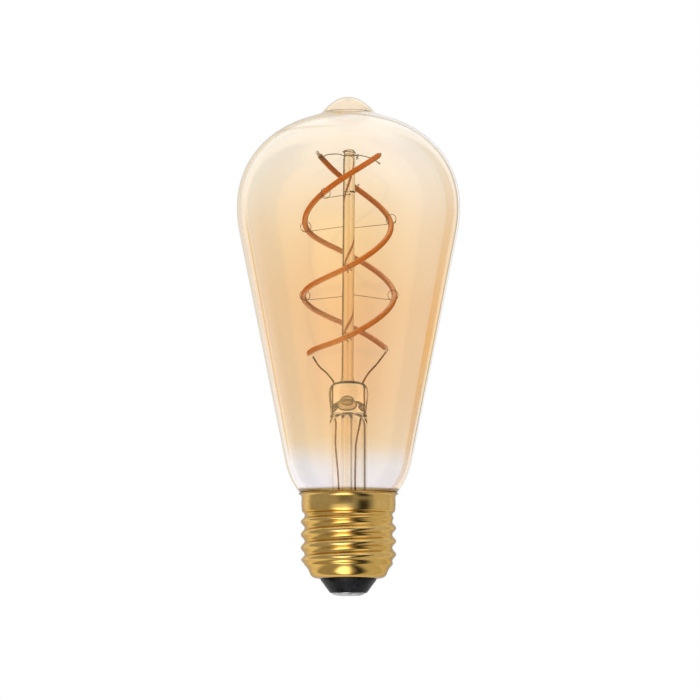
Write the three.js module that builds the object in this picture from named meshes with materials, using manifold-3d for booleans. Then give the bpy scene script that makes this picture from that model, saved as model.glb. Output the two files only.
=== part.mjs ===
// Filament lamp with a wireless driver inside its E27 screw cap.
// Millimetres, +Z up. The origin is the middle of the centre contact's flat lower face.
// +X is to the lamp's right and -Y is its front. Angles run anticlockwise from +X, seen from above.
import * as THREE from "three";
import { mergeVertices } from "three/addons/utils/BufferGeometryUtils.js";
import Module from "manifold-3d";

const wasm = await Module();
wasm.setup();

// ---- Driving dimensions ----

// Clearance between pieces that touch on the real lamp.
const FIT = 0.3;

// Glass envelope: a cone that opens upwards into a dome, with a drawn tip.
const BULB_RADIUS = 31;
const BULB_TOP = 138.55;
const BULB_WIDEST_Z = 107.5;
const GLASS_WALL = 0.9;
const CONE_TOP = { r: 29.9, z: 98.7 };
const CONE_BOTTOM = { r: 17.6, z: 37.6 };
const NECK_RADIUS = 11.4;
const NECK_TOP = 26;
const NECK_BOTTOM = 21.8;

// E27 screw cap: root and crest of the rolled thread, and its pitch of seven turns to the inch.
const THREAD_ROOT = 12.15;
const THREAD_DEPTH = 1.05;
const THREAD_PITCH = 25.4 / 7;
const THREAD_BOTTOM = 8.2;
const THREAD_TOP = 22.4;
const THREAD_CREST_Z = 15.07;
const SHELL_WALL = 0.35;
const COLLAR_RADIUS = 13.05;
const RIM_RADIUS = 13.75;
const RIM_TOP = 28.1;
const LIP_RADIUS = 8.25;
const LIP_Z = 4.75;

// Insulator cone and centre contact.
const CONTACT_FLAT = 2.5;
const CONTACT_RADIUS = 4.6;
const CONTACT_RISE = 0.8;
const RIVET_RADIUS = 1.2;
const INSULATOR_TOP = 7.4;

// Stem: a glass tube, pressed flat at its top round the two lead wires.
const STEM_RADIUS = 5.25;
const STEM_BORE = 4.4;
const STEM_BOTTOM = 22.4;
const STEM_SKIRT = 10.2;
const CAVITY_TOP = 49.3;
const PRESS_BLEND_BOTTOM = 46.5;
const PRESS_BLEND_TOP = 51.5;
const PRESS_WAIST = 4.7;
const PRESS_TOP = 59.5;
const PRESS_HALF_WIDTH = 5.5;
const PRESS_HALF_DEPTH = 2.5;
const LEAD_LEFT_X = -4.1;
const LEAD_RIGHT_X = 4.05;
const EXHAUST_X = -0.45;
const EXHAUST_RADIUS = 1.65;
const EXHAUST_BORE = 1.1;
const EXHAUST_BOTTOM = 21.1;
const BLOW_HOLE_Z = 53.2;

// Support rod: stands on the press and leans a little to the right.
const ROD_RADIUS = 1.6;
const ROD_FOOT_RADIUS = 1.48;
const ROD_FOOT = new THREE.Vector3(-0.1, 0, 59.8);
const ROD_LENGTH = 64.2;
const ROD_LEAN = 0.5 / 62;
const LINK_RING_Z = 122.3;

// Filaments: each winds down round the rod. A stop on a route is its angle in degrees, its distance
// from the lamp's axis and its height.
const FILAMENT_A = [
  [313, 12.2, 121.2], [270, 11.8, 115.5], [180, 12.1, 103.9], [90, 12.6, 95.8], [0, 12.7, 83.2],
  [-90, 12.5, 70.9], [-156, 11.9, 66.8],
];
const FILAMENT_B = [
  [131, 12.3, 123.4], [90, 12.1, 116], [0, 11.8, 102.4], [-90, 11.5, 90.1], [-180, 12.5, 83],
  [-270, 11.8, 75.8], [-328, 12.2, 69.1],
];
const FILAMENT_RADIUS = 0.78;

// Wires.
const LEAD_RADIUS = 0.25;
const ANCHOR_RADIUS = 0.12;
const ANCHOR_LOOP = 1.42;
const LINK_RADIUS = 0.2;

// Driver: a plastic cup in the cap, and a round board on the cup's ledge.
const CUP_RADIUS = 11;
const CUP_BORE = 10.2;
const CUP_BOTTOM = 8.4;
const CUP_TOP = 20.6;
const CUP_LEDGE = 11.3;
const BOARD_RADIUS = 9.7;
const BOARD_BOTTOM = CUP_LEDGE + FIT;
const BOARD_TOP = BOARD_BOTTOM + 1;
const ON_BOARD = BOARD_TOP + FIT;

// Facets: segments of a full turn, by size of piece.
const FACETS_LARGE = 32;
const FACETS_CAP = 26;
const FACETS_SMALL = 16;

// ---- Geometry helpers ----

const TURN = 2 * Math.PI;
const v2 = (r, z) => new THREE.Vector2(r, z);
const v3 = (x, y, z) => new THREE.Vector3(x, y, z);

// The point at an angle in degrees and a distance from the lamp's axis.
function polar(radius, degrees, z) {
  const angle = THREE.MathUtils.degToRad(degrees);
  return v3(radius * Math.cos(angle), radius * Math.sin(angle), z);
}

// Points along a chain of stretches, each [curve, number of steps].
function along(...stretches) {
  const points = [stretches[0][0].getPoint(0)];
  for (const [curve, steps] of stretches) points.push(...curve.getPoints(steps).slice(1));
  return points;
}

const line = (from, to) => new THREE.LineCurve(from, to);
const bend = (from, corner, to) => new THREE.QuadraticBezierCurve(from, corner, to);
const sweep = (from, a, b, to) => new THREE.CubicBezierCurve(from, a, b, to);

// An outline that runs up the outside of a wall, moved inwards by the wall's thickness.
function inset(outline, wall) {
  return outline.map((point, i) => {
    const before = outline[Math.max(i - 1, 0)];
    const after = outline[Math.min(i + 1, outline.length - 1)];
    const direction = after.clone().sub(before).normalize();
    return v2(Math.max(point.x - direction.y * wall, 0), point.y + direction.x * wall);
  });
}

// A solid of revolution about Z. The outline runs up the outside, from axis to axis or closed on itself.
function revolve(outline, facets) {
  return new THREE.LatheGeometry(outline, facets).rotateX(Math.PI / 2);
}

function revolveRing(outline, facets) {
  return revolve([...outline, outline[0].clone()], facets);
}

// Moves every vertex of a geometry by a function of its place.
function reshape(geometry, move) {
  const places = geometry.getAttribute("position");
  const place = new THREE.Vector3();
  for (let i = 0; i < places.count; i++) {
    place.fromBufferAttribute(places, i);
    move(place);
    places.setXYZ(i, place.x, place.y, place.z);
  }
  return geometry;
}

// A round bar along a curve.
function bar(curve, radius, steps, sides = 6) {
  const section = [];
  for (let i = 0; i < sides; i++) {
    section.push(v2(radius * Math.cos((i * TURN) / sides), radius * Math.sin((i * TURN) / sides)));
  }
  const settings = { extrudePath: curve, steps, bevelEnabled: false };
  return new THREE.ExtrudeGeometry(new THREE.Shape(section), settings);
}

const through = (...points) => new THREE.CatmullRomCurve3(points, false, "centripetal");

function box(width, depth, height, x, y, bottom) {
  return new THREE.BoxGeometry(width, depth, height).translate(x, y, bottom + height / 2);
}

function pillar(radius, bottom, top, x, y, facets = FACETS_SMALL) {
  const outline = [v2(0, bottom), v2(radius, bottom), v2(radius, top), v2(0, top)];
  return revolve(outline, facets).translate(x, y, 0);
}

function toSolid(geometry) {
  const bare = new THREE.BufferGeometry();
  const flat = geometry.index ? geometry.toNonIndexed() : geometry;
  bare.setAttribute("position", flat.getAttribute("position"));
  const merged = mergeVertices(bare, 1e-4);
  const vertProperties = merged.getAttribute("position").array;
  const triVerts = new Uint32Array(merged.index.array);
  return new wasm.Manifold(new wasm.Mesh({ numProp: 3, vertProperties, triVerts }));
}

function toGeometry(solid) {
  const mesh = solid.getMesh();
  const geometry = new THREE.BufferGeometry();
  geometry.setAttribute("position", new THREE.BufferAttribute(new Float32Array(mesh.vertProperties), 3));
  geometry.setIndex(new THREE.BufferAttribute(mesh.triVerts, 1));
  geometry.computeVertexNormals();
  return geometry;
}

function join(first, ...others) {
  return toGeometry(others.reduce((sum, other) => sum.add(toSolid(other)), toSolid(first)));
}

function cut(first, ...tools) {
  return toGeometry(tools.reduce((rest, tool) => rest.subtract(toSolid(tool)), toSolid(first)));
}

// ---- Glass ----

function glassEnvelope() {
  const neckTop = v2(NECK_RADIUS, NECK_TOP);
  const coneBottom = v2(CONE_BOTTOM.r, CONE_BOTTOM.z);
  const coneTop = v2(CONE_TOP.r, CONE_TOP.z);
  const widest = v2(BULB_RADIUS, BULB_WIDEST_Z);
  const domeTop = v2(12, 132.5);
  const tipFoot = v2(7.2, 134.4);
  const outside = along(
    [line(v2(NECK_RADIUS, NECK_BOTTOM), neckTop), 1],
    [sweep(neckTop, v2(NECK_RADIUS, 27.4), v2(15.79, 28.6), coneBottom), 6],
    [line(coneBottom, coneTop), 1],
    [sweep(coneTop, v2(30.5, 101.7), v2(BULB_RADIUS, 104.5), widest), 3],
    [sweep(widest, v2(BULB_RADIUS, 120), v2(23.5, 128.7), domeTop), 7],
    [sweep(domeTop, v2(10, 133.15), v2(7.9, 133.7), tipFoot), 3],
    [sweep(tipFoot, v2(5.6, 136.2), v2(3.2, BULB_TOP), v2(0, BULB_TOP)), 4],
  );
  const inside = inset(outside, GLASS_WALL).reverse();
  return revolve([...inside, ...outside], FACETS_LARGE);
}

// The tube is round below and flattens towards the press, whose section is a rounded oblong.
function flattenToPress(place) {
  const press = THREE.MathUtils.smoothstep(place.z, PRESS_BLEND_BOTTOM, PRESS_BLEND_TOP);
  const across = Math.hypot(place.x, place.y);
  if (across === 0 || press === 0) return;
  const cos = Math.abs(place.x) / across;
  const sin = Math.abs(place.y) / across;
  const corner = 2 + 2 * press;
  const squareness = (cos ** corner + sin ** corner) ** (-1 / corner);
  place.x *= squareness * THREE.MathUtils.lerp(1, PRESS_HALF_WIDTH / STEM_RADIUS, press);
  place.y *= squareness * THREE.MathUtils.lerp(1, PRESS_HALF_DEPTH / STEM_RADIUS, press);
}

function stemFlareTube() {
  const skirtEnd = v2(STEM_SKIRT, STEM_BOTTOM);
  const skirtTop = v2(STEM_RADIUS, 28.5);
  const pressCorner = 2.2;
  const pressShoulder = v2(STEM_RADIUS, PRESS_TOP - pressCorner);
  const pressCrown = v2(STEM_RADIUS - pressCorner, PRESS_TOP);
  const shoulder = v2(STEM_RADIUS, 47.4);
  const waist = v2(PRESS_WAIST, 50.4);
  const outside = along(
    [bend(skirtEnd, v2(5.5, 24), skirtTop), 4],
    [line(skirtTop, v2(STEM_RADIUS, 46)), 1],
    [line(v2(STEM_RADIUS, 46), shoulder), 1],
    [bend(shoulder, v2(STEM_RADIUS, 49.6), waist), 4],
    [bend(waist, v2(PRESS_WAIST, 53), pressShoulder), 3],
    [bend(pressShoulder, v2(STEM_RADIUS, PRESS_TOP), pressCrown), 3],
    [line(pressCrown, v2(0, PRESS_TOP)), 1],
  );
  const bore = along(
    [line(v2(0, CAVITY_TOP), v2(STEM_BORE, CAVITY_TOP)), 1],
    [line(v2(STEM_BORE, CAVITY_TOP), v2(STEM_BORE, PRESS_BLEND_BOTTOM)), 3],
    [line(v2(STEM_BORE, PRESS_BLEND_BOTTOM), v2(STEM_BORE, 28.6)), 1],
    [bend(v2(STEM_BORE, 28.6), v2(4.6, 23.4), v2(9.6, STEM_BOTTOM - 0.5)), 4],
  );
  const tube = reshape(revolve([...bore, ...outside], FACETS_CAP), flattenToPress);
  const channel = LEAD_RADIUS + 0.12;
  const blowHole = new THREE.SphereGeometry(1, 14, 10).scale(2.4, 2.2, 2.25);
  return cut(
    tube,
    pillar(channel, CAVITY_TOP - 1, PRESS_TOP + 1, LEAD_LEFT_X, 0, 8),
    pillar(channel, CAVITY_TOP - 1, PRESS_TOP + 1, LEAD_RIGHT_X, 0, 8),
    blowHole.translate(EXHAUST_X + 0.15, -1.7, BLOW_HOLE_Z),
    pillar(EXHAUST_BORE, CAVITY_TOP - 1, BLOW_HOLE_Z, EXHAUST_X, 0, 10),
  );
}

// Drawn to a closed tip where the lamp was sealed after pumping.
function exhaustTube() {
  const top = CAVITY_TOP - FIT;
  const outline = [
    v2(0, EXHAUST_BOTTOM), v2(0.9, EXHAUST_BOTTOM + 0.5), v2(EXHAUST_RADIUS, EXHAUST_BOTTOM + 2.6),
    v2(EXHAUST_RADIUS, top), v2(EXHAUST_BORE, top), v2(EXHAUST_BORE, EXHAUST_BOTTOM + 3),
    v2(0, EXHAUST_BOTTOM + 1.8),
  ];
  return revolve(outline, 14).translate(EXHAUST_X, 0, 0);
}

// Outline in the rod's own frame, with its foot at zero. The head stands above the link wire's ring.
function supportRod() {
  const neck = LINK_RING_Z - ROD_FOOT.z;
  const outline = [
    v2(0, 0), v2(ROD_FOOT_RADIUS, 0), v2(ROD_RADIUS, neck - 0.6), v2(ROD_RADIUS - 0.15, neck),
    v2(ROD_RADIUS - 0.05, neck + 0.5), v2(1.15, ROD_LENGTH - 0.2), v2(0.9, ROD_LENGTH), v2(0, ROD_LENGTH),
  ];
  return revolve(outline, FACETS_SMALL);
}

// The rod's centre at a height of the lamp.
const rodCentre = (z) => v3(ROD_FOOT.x + (z - ROD_FOOT.z) * Math.tan(ROD_LEAN), 0, z);

// ---- Filaments and wires ----

// A filament's centre line: a smooth curve through its route's angles, distances and heights.
class Coil extends THREE.Curve {
  constructor(route) {
    super();
    this.route = new THREE.CatmullRomCurve3(route.map((stop) => v3(...stop)), false, "catmullrom");
  }
  getPoint(t) {
    const { x: degrees, y: radius, z } = this.route.getPoint(t);
    return polar(radius, degrees, z);
  }
  // The parameter at which the coil reaches an angle, by halving: the angle falls all the way.
  at(degrees) {
    let [low, high] = [0, 1];
    for (let i = 0; i < 30; i++) {
      const middle = (low + high) / 2;
      if (this.route.getPoint(middle).x > degrees) low = middle;
      else high = middle;
    }
    return low;
  }
}

const coilA = new Coil(FILAMENT_A);
const coilB = new Coil(FILAMENT_B);

function filament(coil) {
  return bar(coil, FILAMENT_RADIUS, 46, 8);
}

// A flat metal tab that leaves a filament's end in line with it.
function endTab(coil, end, length) {
  const out = coil.getTangent(end).multiplyScalar(end === 0 ? -1 : 1);
  const start = coil.getPoint(end).addScaledVector(out, FIT / 3);
  const finish = start.clone().addScaledVector(out, length);
  const section = new THREE.Shape([v2(-0.2, -0.6), v2(0.2, -0.6), v2(0.2, 0.6), v2(-0.2, 0.6)]);
  const settings = { extrudePath: new THREE.LineCurve3(start, finish), steps: 1, bevelEnabled: false };
  return new THREE.ExtrudeGeometry(section, settings);
}

// From the rod to the filament's underside, then once and a bit round it. The loop is square to the filament or
// turned towards the front, and its centre may be beside the filament's.
function anchorWire({ coil, degrees, rodHeight, leaves, turned = 0, beside = [0, 0], advance = 0.6 }) {
  const [steps, turns] = [13, 1.2];
  const t = coil.at(degrees);
  const axis = coil.getTangent(t);
  const centre = coil.getPoint(t).add(v3(beside[0], 0, beside[1]));
  const towardsFront = axis.clone().cross(v3(0, Math.sign(axis.y), 0)).normalize();
  const square = axis.clone().applyAxisAngle(towardsFront, (turned * TURN) / 360);
  const outward = polar(1, degrees, 0);
  outward.addScaledVector(square, -outward.dot(square)).normalize();
  const upward = square.clone().cross(outward);
  const points = [rodCentre(rodHeight).add(polar(ROD_RADIUS + 0.2, leaves ?? degrees, 0))];
  for (let i = 0; i <= steps; i++) {
    const share = i / steps;
    const angle = share * turns * TURN;
    const point = centre.clone().addScaledVector(upward, -ANCHOR_LOOP * Math.cos(angle));
    point.addScaledVector(outward, ANCHOR_LOOP * Math.sin(angle));
    points.push(point.addScaledVector(axis, (share - 0.4) * advance));
  }
  return bar(through(...points), ANCHOR_RADIUS, 22, 5);
}

// A ring round the rod's neck, with an arm to the upper end of each filament.
function linkWire() {
  const centre = rodCentre(LINK_RING_Z);
  const ring = new THREE.TorusGeometry(ROD_RADIUS + 0.4, LINK_RADIUS, 6, 20);
  ring.translate(centre.x, centre.y, centre.z);
  const leftArm = through(
    v3(-1.45, 0.7, LINK_RING_Z), v3(-2.4, 2.2, 122.9), v3(-4.3, 4.7, 123.3), v3(-6.4, 7.3, 123.3),
    v3(-7.1, 8.1, 122.9),
  );
  const rightArm = through(
    v3(2.05, -0.9, LINK_RING_Z), v3(3.2, -2.5, 122), v3(5.4, -5.6, 121.1), v3(7, -7.5, 120.2),
    v3(8.5, -7.8, 119.1),
  );
  return join(ring, bar(leftArm, LINK_RADIUS, 10), bar(rightArm, LINK_RADIUS, 10));
}

const PRESS_EXIT = PRESS_TOP - 0.3;

function innerLeadLeft() {
  const route = through(
    v3(LEAD_LEFT_X, 0, PRESS_EXIT), v3(-4.6, -0.2, 59.9), v3(-6.1, -1.5, 61.6), v3(-8.1, -3.4, 63.3),
    v3(-9.7, -5.1, 65.7),
  );
  return bar(route, LEAD_RADIUS, 12);
}

function innerLeadRight() {
  const route = through(
    v3(LEAD_RIGHT_X, 0, PRESS_EXIT), v3(4.7, 0.4, 60.4), v3(5.6, 1.1, 61.8), v3(7.7, 3, 64.2),
    v3(9.6, 5, 66.8), v3(10.4, 5.4, 67.9),
  );
  return bar(route, LEAD_RADIUS, 12);
}

const CAVITY_EXIT = CAVITY_TOP + 0.3;

function sealWire(x) {
  return pillar(LEAD_RADIUS, CAVITY_EXIT + 0.1, PRESS_EXIT - 0.1, x, 0, 8);
}

function outerLeadLeft() {
  const route = through(
    v3(LEAD_LEFT_X, 0, CAVITY_EXIT), v3(-3.75, -0.3, 48.5), v3(-3.45, -0.8, 47.5), v3(-3.55, -1, 42.4),
    v3(-3.2, -1, 37.7), v3(-2.8, -1, 33), v3(-2.5, -1, 25), v3(-2, -0.8, ON_BOARD),
  );
  return bar(route, LEAD_RADIUS, 22);
}

function outerLeadRight() {
  const route = through(
    v3(LEAD_RIGHT_X, 0, CAVITY_EXIT), v3(3.4, -0.3, 48.5), v3(3.1, -0.8, 47.5), v3(2, -1, 41.7),
    v3(1.9, -1, 38), v3(1.8, -1, 33), v3(1.8, -1, 25), v3(1.6, -0.8, ON_BOARD),
  );
  return bar(route, LEAD_RADIUS, 22);
}

// ---- Cap ----

// How far the rolled thread stands out at an angle in radians and a height.
function threadHeight(angle, z) {
  const phase = (z - THREAD_CREST_Z) / THREAD_PITCH - angle / TURN;
  const rise = THREE.MathUtils.smoothstep(z, THREAD_BOTTOM, THREAD_BOTTOM + 2);
  const fall = 1 - THREE.MathUtils.smoothstep(z, THREAD_TOP - 1.8, THREAD_TOP);
  return THREAD_DEPTH * rise * fall * (0.5 + 0.5 * Math.cos(TURN * phase));
}

function rollThread(place) {
  const radius = Math.hypot(place.x, place.y);
  const angle = Math.atan2(place.y, place.x);
  const grown = (radius + threadHeight(angle, place.z)) / radius;
  place.x *= grown;
  place.y *= grown;
}

// Spun brass: lip, rounded end, threaded barrel, collar and flared rim.
function capShell() {
  const lip = v2(LIP_RADIUS, LIP_Z);
  const heel = v2(10.75, 6.4);
  const barrelBottom = v2(THREAD_ROOT, THREAD_BOTTOM + 0.3);
  const barrelTop = v2(THREAD_ROOT, THREAD_TOP);
  const stepZ = THREAD_TOP + 0.5;
  const collarBottom = v2(COLLAR_RADIUS, THREAD_TOP + 1.1);
  const collarTop = v2(COLLAR_RADIUS, RIM_TOP - 0.9);
  const rowsPerTurn = 6;
  const rows = Math.ceil(((THREAD_TOP - THREAD_BOTTOM) / THREAD_PITCH) * rowsPerTurn);
  const outside = along(
    [bend(lip, v2(10.3, LIP_Z), heel), 4],
    [bend(heel, v2(11.05, 7.4), barrelBottom), 2],
    [line(barrelBottom, barrelTop), rows],
    [sweep(barrelTop, v2(THREAD_ROOT, stepZ), v2(COLLAR_RADIUS, stepZ), collarBottom), 3],
    [line(collarBottom, collarTop), 1],
    [bend(collarTop, v2(COLLAR_RADIUS, RIM_TOP - 0.3), v2(RIM_RADIUS, RIM_TOP)), 2],
  );
  const inside = inset(outside, SHELL_WALL).reverse();
  return reshape(revolveRing([...outside, ...inside], FACETS_CAP), rollThread);
}

// Pressed in one piece: the cone outside the shell, the flange inside it and a bore for the rivet.
function capInsulator() {
  const seat = CONTACT_RISE + 0.05 + FIT;
  const outline = [
    v2(RIVET_RADIUS + FIT, seat), v2(CONTACT_RADIUS + FIT, seat), v2(CONTACT_RADIUS + FIT, CONTACT_RISE),
    v2(5.15, CONTACT_RISE), v2(7.8, 4.5), v2(7.85, LIP_Z + 0.7), v2(9, LIP_Z + 0.7), v2(9.9, 6.1),
    v2(10.05, 6.9), v2(10.05, INSULATOR_TOP), v2(RIVET_RADIUS + FIT, INSULATOR_TOP),
  ];
  return revolveRing(outline, FACETS_CAP);
}

// A domed plate with a flat middle, on a rivet through the insulator.
function centreContact() {
  const flat = v2(CONTACT_FLAT, 0);
  const edge = v2(CONTACT_RADIUS, CONTACT_RISE);
  const outline = along(
    [line(v2(0, 0), flat), 1],
    [bend(flat, v2(4.2, 0.1), edge), 4],
    [line(edge, v2(RIVET_RADIUS, CONTACT_RISE + 0.05)), 1],
    [line(v2(RIVET_RADIUS, CONTACT_RISE + 0.05), v2(RIVET_RADIUS, INSULATOR_TOP + 0.2)), 1],
    [line(v2(RIVET_RADIUS, INSULATOR_TOP + 0.2), v2(0, INSULATOR_TOP + 0.2)), 1],
  );
  return revolve(outline, 24);
}

function basingCement() {
  const [inner, outer] = [NECK_RADIUS + FIT, COLLAR_RADIUS - SHELL_WALL - FIT];
  const [bottom, top] = [23.8, 26];
  return revolveRing([v2(inner, bottom), v2(outer, bottom), v2(outer, top), v2(inner, top)], FACETS_CAP);
}

// ---- Driver ----

function driverCup() {
  const floor = CUP_BOTTOM + 0.9;
  const hole = 1.5;
  const outline = [
    v2(hole, CUP_BOTTOM), v2(9.6, CUP_BOTTOM), v2(CUP_RADIUS, 9.8), v2(CUP_RADIUS, CUP_TOP),
    v2(CUP_BORE, CUP_TOP), v2(CUP_BORE, CUP_LEDGE), v2(9.4, CUP_LEDGE), v2(9.4, floor), v2(hole, floor),
  ];
  return revolveRing(outline, FACETS_CAP);
}

function driverBoard() {
  return pillar(BOARD_RADIUS, BOARD_BOTTOM, BOARD_TOP, 0, 0, FACETS_CAP);
}

// An electrolytic capacitor: a can with a rolled groove near its foot.
function capacitor(radius, height, x, y) {
  const foot = ON_BOARD;
  const outline = [
    v2(0, foot), v2(radius - 0.2, foot), v2(radius, foot + 0.2), v2(radius, foot + 0.9),
    v2(radius - 0.25, foot + 1.2), v2(radius, foot + 1.5), v2(radius, foot + height - 0.3),
    v2(radius - 0.3, foot + height), v2(0, foot + height),
  ];
  return revolve(outline, FACETS_SMALL).translate(x, y, 0);
}

const CHOKE = { x: 4.7, y: 4.5, flange: 3.2, hub: 1.4, height: 6.6, plate: 0.9 };

function chokeCore() {
  const [bottom, top] = [ON_BOARD, ON_BOARD + CHOKE.height];
  const outline = [
    v2(0, bottom), v2(CHOKE.flange, bottom), v2(CHOKE.flange, bottom + CHOKE.plate),
    v2(CHOKE.hub, bottom + CHOKE.plate), v2(CHOKE.hub, top - CHOKE.plate),
    v2(CHOKE.flange, top - CHOKE.plate), v2(CHOKE.flange, top), v2(0, top),
  ];
  return revolve(outline, FACETS_SMALL).translate(CHOKE.x, CHOKE.y, 0);
}

function chokeWinding() {
  const [inner, outer] = [CHOKE.hub + FIT, CHOKE.flange - 0.3];
  const bottom = ON_BOARD + CHOKE.plate + FIT;
  const top = ON_BOARD + CHOKE.height - CHOKE.plate - FIT;
  const outline = [v2(inner, bottom), v2(outer, bottom), v2(outer, top), v2(inner, top)];
  return revolveRing(outline, FACETS_SMALL).translate(CHOKE.x, CHOKE.y, 0);
}

// A coated body with round shoulders, lying along Y.
function fusibleResistor() {
  const length = 6;
  const radius = 1.1;
  const outline = [
    v2(0, 0), v2(0.8, 0), v2(radius, 0.4), v2(radius, length - 0.4), v2(0.8, length), v2(0, length),
  ];
  return revolve(outline, 12).rotateX(-Math.PI / 2).translate(-0.3, 2.2, ON_BOARD + radius);
}

// A chip under the board, with its legs reaching up to it.
function chip(width, depth, legs, x, y) {
  const [body, reach] = [1.2, 0.7];
  const top = BOARD_BOTTOM - FIT;
  const pieces = [box(width, depth, body, x, y, top - 0.2 - body)];
  for (let i = 0; i < legs; i++) {
    const legX = x + ((i + 0.5) / legs - 0.5) * width;
    for (const side of [-1, 1]) {
      pieces.push(box(0.4, reach, 0.2, legX, y + side * (depth / 2 + reach / 2 - 0.1), top - 0.2));
      pieces.push(box(0.4, 0.2, 0.8, legX, y + side * (depth / 2 + 0.1), top - 0.9));
    }
  }
  return join(...pieces);
}

const MODULE = { x: 3.6, y: -4.4, width: 10, thick: 0.8, height: 7.2 };

function wirelessModule() {
  return box(MODULE.width, MODULE.thick, MODULE.height, MODULE.x, MODULE.y, ON_BOARD);
}

// A pressed lid, open on the side that faces the module.
function wirelessShield() {
  const [width, depth, height, wall] = [7, 1.4, 5, 0.2];
  const y = MODULE.y - MODULE.thick / 2 - FIT - depth / 2;
  const lid = box(width, depth, height, MODULE.x, y, ON_BOARD + 0.6);
  const hollow = box(width - 2 * wall, depth, height - 2 * wall, MODULE.x, y + wall, ON_BOARD + 0.6 + wall);
  return cut(lid, hollow);
}

function liveWire() {
  return pillar(0.35, INSULATOR_TOP + 0.2 + FIT, BOARD_BOTTOM - FIT, 0, 0, 8);
}

// From the board over the cup's edge, down between the cup and the screw shell.
function neutralWire() {
  const gap = 11.4;
  const route = through(
    v3(8.4, -0.5, ON_BOARD), v3(8.8, -0.5, 16), v3(9.5, -0.5, 20), v3(10, -0.5, 20.95),
    v3(10.8, -0.5, 21.05), v3(gap, -0.5, 20.4), v3(gap, -0.5, 19), v3(gap, -0.5, 16.5),
  );
  return bar(route, 0.2, 20);
}

// ---- Finishes ----

function finish(color, roughness, metalness, opacity = 1) {
  const settings = { color, roughness, metalness, opacity, transparent: opacity < 1 };
  return new THREE.MeshStandardMaterial(settings);
}

const amberGlass = () => finish("#f0c69b", 0.05, 0, 0.35);
const clearGlass = () => finish("#f2efe9", 0.05, 0, 0.35);
const silicone = () => finish("#c86414", 0.55, 0);
const darkWire = () => finish("#8a8378", 0.4, 0.9);
const copperWire = () => finish("#a8623c", 0.4, 0.9);
const brass = () => finish("#b29459", 0.3, 1);
const blackGlass = () => finish("#2f3031", 0.35, 0);
const solder = () => finish("#afafad", 0.4, 0.9);
const cement = () => finish("#cfc4ae", 0.9, 0);
const whitePlastic = () => finish("#e9e7e0", 0.5, 0);
const greenBoard = () => finish("#1f5b3a", 0.5, 0);
const blackBody = () => finish("#222324", 0.5, 0);
const canSleeve = () => finish("#3a3f4a", 0.4, 0.2);
const tinPlate = () => finish("#c4c6c8", 0.35, 1);

// ---- Assembly ----

const lamp = new THREE.Group();
const glass = new THREE.Group();
const mount = new THREE.Group();
const cap = new THREE.Group();
const driver = new THREE.Group();
lamp.add(glass, mount, cap, driver);

function add(group, name, geometry, material) {
  const mesh = new THREE.Mesh(geometry, material);
  mesh.name = name;
  group.add(mesh);
  return mesh;
}

add(glass, "glass_envelope", glassEnvelope(), amberGlass());
add(glass, "stem_flare_tube", stemFlareTube(), clearGlass());
add(glass, "exhaust_tube", exhaustTube(), clearGlass());
const rod = add(glass, "support_rod", supportRod(), clearGlass());
rod.position.copy(ROD_FOOT);
rod.rotation.y = ROD_LEAN;

add(mount, "filament_a", filament(coilA), silicone());
add(mount, "filament_b", filament(coilB), silicone());
add(mount, "filament_a_upper_tab", endTab(coilA, 0, 0.9), tinPlate());
add(mount, "filament_a_lower_tab", endTab(coilA, 1, 0.9), tinPlate());
add(mount, "filament_b_upper_tab", endTab(coilB, 0, 1.3), tinPlate());
add(mount, "filament_b_lower_tab", endTab(coilB, 1, 0.9), tinPlate());
add(mount, "filament_link_wire", linkWire(), darkWire());

// Each anchor: where it holds its coil and leaves the rod, and how its loop lies (angles are in degrees).
const ANCHORS = [
  { coil: coilA, degrees: 236.7, rodHeight: 111.2, leaves: -80, turned: 40, beside: [0.29, -0.35] },
  { coil: coilA, degrees: 167.6, rodHeight: 102.4, turned: 15 },
  { coil: coilA, degrees: 1.1, rodHeight: 83.4, turned: 15, beside: [-0.37, 0] },
  { coil: coilA, degrees: -91, rodHeight: 72.2, advance: 1.4 },
  { coil: coilB, degrees: 80, rodHeight: 112.2 },
  { coil: coilB, degrees: 14.9, rodHeight: 102.1, turned: 15, beside: [0.4, 0.15] },
  { coil: coilB, degrees: -91, rodHeight: 90.4, advance: 1.4 },
  { coil: coilB, degrees: -177.5, rodHeight: 82.9, beside: [0.4, 0] },
];
ANCHORS.forEach((anchor, i) => add(mount, `anchor_wire_${i + 1}`, anchorWire(anchor), darkWire()));

add(mount, "inner_lead_left", innerLeadLeft(), darkWire());
add(mount, "inner_lead_right", innerLeadRight(), darkWire());
add(mount, "seal_wire_left", sealWire(LEAD_LEFT_X), copperWire());
add(mount, "seal_wire_right", sealWire(LEAD_RIGHT_X), copperWire());
add(mount, "outer_lead_left", outerLeadLeft(), copperWire());
add(mount, "outer_lead_right", outerLeadRight(), copperWire());

add(cap, "cap_shell", capShell(), brass());
add(cap, "cap_insulator", capInsulator(), blackGlass());
add(cap, "centre_contact", centreContact(), solder());
add(cap, "basing_cement", basingCement(), cement());

add(driver, "driver_cup", driverCup(), whitePlastic());
add(driver, "driver_board", driverBoard(), greenBoard());
add(driver, "input_capacitor", capacitor(3.1, 7.2, -5, 4), canSleeve());
add(driver, "output_capacitor", capacitor(2.5, 6.8, -5.6, -3.6), canSleeve());
add(driver, "choke_core", chokeCore(), blackBody());
add(driver, "choke_winding", chokeWinding(), copperWire());
add(driver, "fusible_resistor", fusibleResistor(), finish("#5f8a78", 0.6, 0));
add(driver, "bridge_rectifier", chip(4.7, 3.8, 2, -4.2, 0), blackBody());
add(driver, "driver_chip", chip(4.9, 3.9, 4, 4.2, 0), blackBody());
add(driver, "wireless_module", wirelessModule(), greenBoard());
add(driver, "wireless_shield", wirelessShield(), tinPlate());
add(driver, "live_wire", liveWire(), copperWire());
add(driver, "neutral_wire", neutralWire(), copperWire());

export default lamp;
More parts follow.
